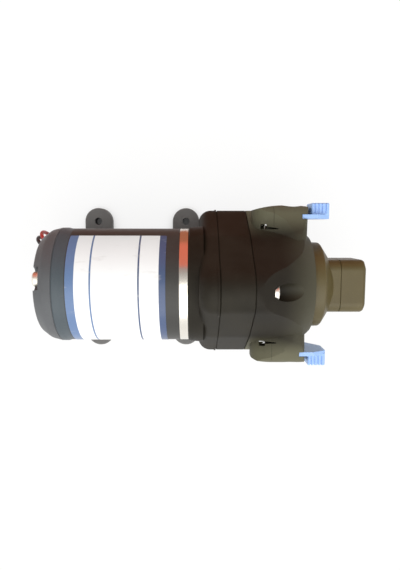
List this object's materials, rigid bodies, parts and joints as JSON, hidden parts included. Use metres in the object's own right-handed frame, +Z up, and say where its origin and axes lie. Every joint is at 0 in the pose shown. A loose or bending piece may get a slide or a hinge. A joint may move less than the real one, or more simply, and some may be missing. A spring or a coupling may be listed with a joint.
{
  "type": "water pressure pump",
  "caption": "Low voltage diaphragm water pump with a can motor on a footed base, a lobed head with side ports and slide clips, and a pressure switch on the nose.",
  "frame": {"origin": "middle of the four mounting holes, on the surface that the feet stand on", "axes": "+X along the motor axis towards the pressure switch, +Z up, outlet port on +Y and inlet port on -Y"},
  "size_m": [0.1883, 0.0912, 0.0926],
  "materials": {
    "can_paint": "satin black paint on drawn steel",
    "label_foil": "printed white foil with blue bands and thin blue lines",
    "cap_plastic": "fine grained black moulding",
    "housing_plastic": "black glass-filled moulding",
    "bright_plate": "bright zinc plate",
    "pressed_steel": "plain pressed steel",
    "screw_steel": "zinc plated",
    "ground_steel": "ground",
    "cam_steel": "turned",
    "bronze": "sintered",
    "ferrite": "fired",
    "lamination": "varnished sheet stack",
    "copper": "enamelled wire and bare bars",
    "carbon": "pressed carbon",
    "card": "moulded brush card",
    "spring_steel": "drawn wire",
    "base_paint": "black paint on pressed steel",
    "foot_rubber": "moulded black rubber",
    "gland_rubber": "moulded black rubber",
    "membrane_rubber": "moulded rubber",
    "wobble_nylon": "natural moulding",
    "valve_nylon": "natural moulding",
    "clip_blue": "light blue moulding",
    "switch_case": "black moulding",
    "black_pvc": "smooth cable cover",
    "red_pvc": "smooth cable cover",
    "tinned_copper": "twisted tinned strands"
  },
  "bodies": {
    "pump_body": {"motor_can": "can_paint", "motor_label": "label_foil", "rear_end_bell": "pressed_steel", "rear_bush": "bronze", "front_bush": "bronze", "front_end_plate": "bright_plate", "end_cap": "cap_plastic", "motor_bolts": "screw_steel", "lead_gland": "gland_rubber", "field_magnets": "ferrite", "brush_holder": "card", "carbon_brushes": "carbon", "brush_springs": "spring_steel", "base_plate": "base_paint", "base_screws": "screw_steel", "foot_rear_left": "foot_rubber", "foot_front_left": "foot_rubber", "foot_rear_right": "foot_rubber", "foot_front_right": "foot_rubber", "lower_housing": "housing_plastic", "drive_screws": "screw_steel", "middle_housing": "housing_plastic", "diaphragm": "membrane_rubber", "valve_plate": "valve_nylon", "inlet_valves": "membrane_rubber", "outlet_valve": "membrane_rubber", "valve_seal": "membrane_rubber", "upper_housing": "housing_plastic", "housing_screws": "screw_steel", "switch_housing": "housing_plastic", "switch_diaphragm": "membrane_rubber", "switch_spring": "spring_steel", "micro_switch": "switch_case", "switch_cap": "housing_plastic", "switch_screws": "screw_steel", "lead_black": "black_pvc", "lead_black_end": "tinned_copper", "lead_red": "red_pvc", "lead_red_end": "tinned_copper"},
    "rotor": {"armature_core": "lamination", "armature_windings": "copper", "motor_shaft": "ground_steel", "commutator": "copper", "wobble_cam": "cam_steel", "cam_set_screw": "screw_steel", "bearing_inner_race": "ground_steel"},
    "wobbler": {"bearing_outer_race": "ground_steel", "bearing_balls": "ground_steel", "wobble_plate": "wobble_nylon", "pistons": "wobble_nylon", "piston_screws": "screw_steel"},
    "inlet_slide": {"inlet_clip": "clip_blue"},
    "outlet_slide": {"outlet_clip": "clip_blue"},
    "plunger": {"switch_plunger": "wobble_nylon"},
    "lever": {"switch_lever": "spring_steel"},
    "pressure_set": {"pressure_screw": "screw_steel"}
  },
  "joints": [
    {"name": "rotor_spin", "type": "hinge", "parent": "pump_body", "child": "rotor", "pos_m": [0.0305, 0, 0.0455], "axis": [1, 0, 0], "continuous": true},
    {"name": "wobble_turn", "type": "hinge", "parent": "rotor", "child": "wobbler", "pos_m": [0.0505, 0, 0.0455], "axis": [0.9981, 0, -0.061], "continuous": true, "deforming": ["diaphragm"]},
    {"name": "inlet_clip_slide", "type": "slide", "parent": "pump_body", "child": "inlet_slide", "axis": [1, 0, 0], "range_m": [0, 0.0125]},
    {"name": "outlet_clip_slide", "type": "slide", "parent": "pump_body", "child": "outlet_slide", "axis": [1, 0, 0], "range_m": [0, 0.0125]},
    {"name": "plunger_slide", "type": "slide", "parent": "pump_body", "child": "plunger", "axis": [1, 0, 0], "range_m": [0, 0.0006], "stiffness_N_per_m": 30, "springref_m": -0.0006, "deforming": ["switch_spring", "switch_diaphragm"]},
    {"name": "lever_hinge", "type": "hinge", "parent": "pump_body", "child": "lever", "pos_m": [0.1044, -0.006, 0.0531], "axis": [0, 0, -1], "range_deg": [0, 6.8]},
    {"name": "pressure_screw_turn", "type": "hinge", "parent": "pump_body", "child": "pressure_set", "pos_m": [0.1265, 0, 0.0455], "axis": [1, 0, 0], "range_deg": [-180, 180]}
  ],
  "couplings": [
    {"joint": "wobble_turn", "follows": "rotor_spin", "ratio": -1},
    {"joint": "lever_hinge", "follows": "plunger_slide", "rad_per_m": 196}
  ]
}
